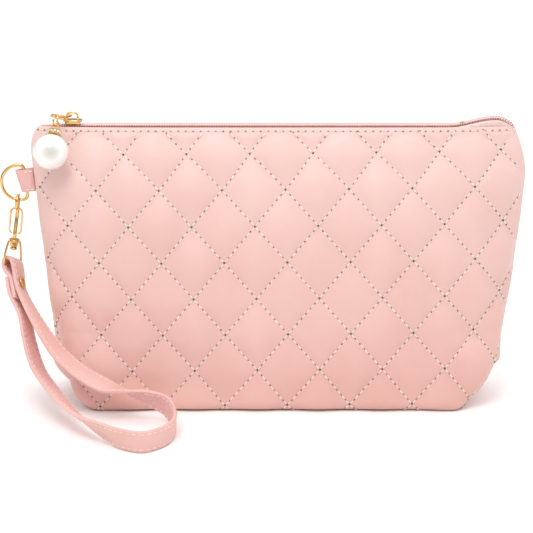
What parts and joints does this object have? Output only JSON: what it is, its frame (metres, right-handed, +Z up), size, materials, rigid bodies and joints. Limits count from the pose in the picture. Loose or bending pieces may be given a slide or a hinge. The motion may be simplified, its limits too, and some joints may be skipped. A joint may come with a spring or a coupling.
{
  "type": "makeup bag",
  "caption": "Quilted box-bottomed make-up bag with a zipped top, a pearl charm on the slider and a wristlet strap on a swivel hook.",
  "frame": {"origin": "middle of the flat base, on the surface the bag stands on", "axes": "+X along the zip, away from the strap; the front face looks along -Y; +Z up"},
  "size_m": [0.2549, 0.1123, 0.1426],
  "materials": {
    "leather": "soft grained, low sheen, cream quilting thread",
    "wadding": "soft fibre sheet",
    "lining": "plain woven lining",
    "zip_tape": "ribbed woven tape",
    "zip_coil": "moulded nylon coil",
    "gold_metal": "polished pale gold plating",
    "pearl": "pearlescent coat"
  },
  "bodies": {
    "bag": {"front_panel": "leather", "back_panel": "leather", "base_panel": "leather", "front_wadding": "wadding", "back_wadding": "wadding", "base_wadding": "wadding", "front_lining": "lining", "back_lining": "lining", "base_lining": "lining", "zip_tape_front": "zip_tape", "zip_tape_back": "zip_tape", "zip_coil_front": "zip_coil", "zip_coil_back": "zip_coil", "zip_top_stop_front": "gold_metal", "zip_top_stop_back": "gold_metal", "zip_bottom_stop": "gold_metal", "side_tab": "leather"},
    "slider": {"slider_body": "gold_metal", "slider_crown": "gold_metal"},
    "ring_1": {"charm_ring_1": "gold_metal"},
    "ring_2": {"charm_ring_2": "gold_metal"},
    "ring_3": {"charm_ring_3": "gold_metal"},
    "drop": {"charm_eye": "gold_metal", "charm_rondelle": "gold_metal", "charm_pearl": "pearl"},
    "d_ring": {"d_ring": "gold_metal"},
    "hook": {"hook_body": "gold_metal"},
    "gate": {"hook_gate": "gold_metal"},
    "swivel": {"swivel_collar": "gold_metal", "bail_ring": "gold_metal"},
    "strap": {"wrist_strap": "leather", "rivet_cap": "gold_metal", "rivet_back": "gold_metal"}
  },
  "joints": [
    {"name": "zip_travel", "type": "slide", "parent": "bag", "child": "slider", "axis": [1, 0, 0], "range_m": [0, 0.18]},
    {"name": "ring_1_turn", "type": "hinge", "parent": "slider", "child": "ring_1", "pos_m": [-0.1014, 0, 0.1403], "axis": [0, 0, 1], "range_deg": [0, 25]},
    {"name": "ring_2_lift", "type": "hinge", "parent": "ring_1", "child": "ring_2", "pos_m": [-0.1034, -0.0036, 0.1406], "axis": [-0.8097, 0.5869, 0], "range_deg": [0, 12]},
    {"name": "ring_3_lift", "type": "hinge", "parent": "ring_2", "child": "ring_3", "pos_m": [-0.1057, -0.0088, 0.1406], "axis": [-0.9707, 0.2402, 0], "range_deg": [0, 20]},
    {"name": "pearl_swing", "type": "hinge", "parent": "ring_3", "child": "drop", "pos_m": [-0.10624, -0.01106, 0.13753], "axis": [-0.2012, -0.8045, 0.5588], "range_deg": [-12, 3]},
    {"name": "d_ring_swing", "type": "hinge", "parent": "bag", "child": "d_ring", "pos_m": [-0.1223, 0, 0.108], "axis": [-0.1049, 0, 0.9945], "range_deg": [-60, 0]},
    {"name": "hook_swing", "type": "hinge", "parent": "d_ring", "child": "hook", "pos_m": [-0.12635, 0, 0.09905], "axis": [1, 0, 0], "range_deg": [-40, 0]},
    {"name": "gate_press", "type": "hinge", "parent": "hook", "child": "gate", "pos_m": [-0.12827, 0.0001, 0.08276], "axis": [0.9931, 0, -0.117], "range_deg": [-8, 0], "stiffness_Nm_per_rad": 0.05},
    {"name": "swivel_turn", "type": "hinge", "parent": "hook", "child": "swivel", "pos_m": [-0.12888, 0, 0.0776], "axis": [0.117, 0, 0.9931], "range_deg": [-120, 0]},
    {"name": "strap_swing", "type": "hinge", "parent": "swivel", "child": "strap", "pos_m": [-0.13, 0, 0.06806], "axis": [-0.7795, -0.6197, 0.0919], "range_deg": [0, 30]}
  ]
}
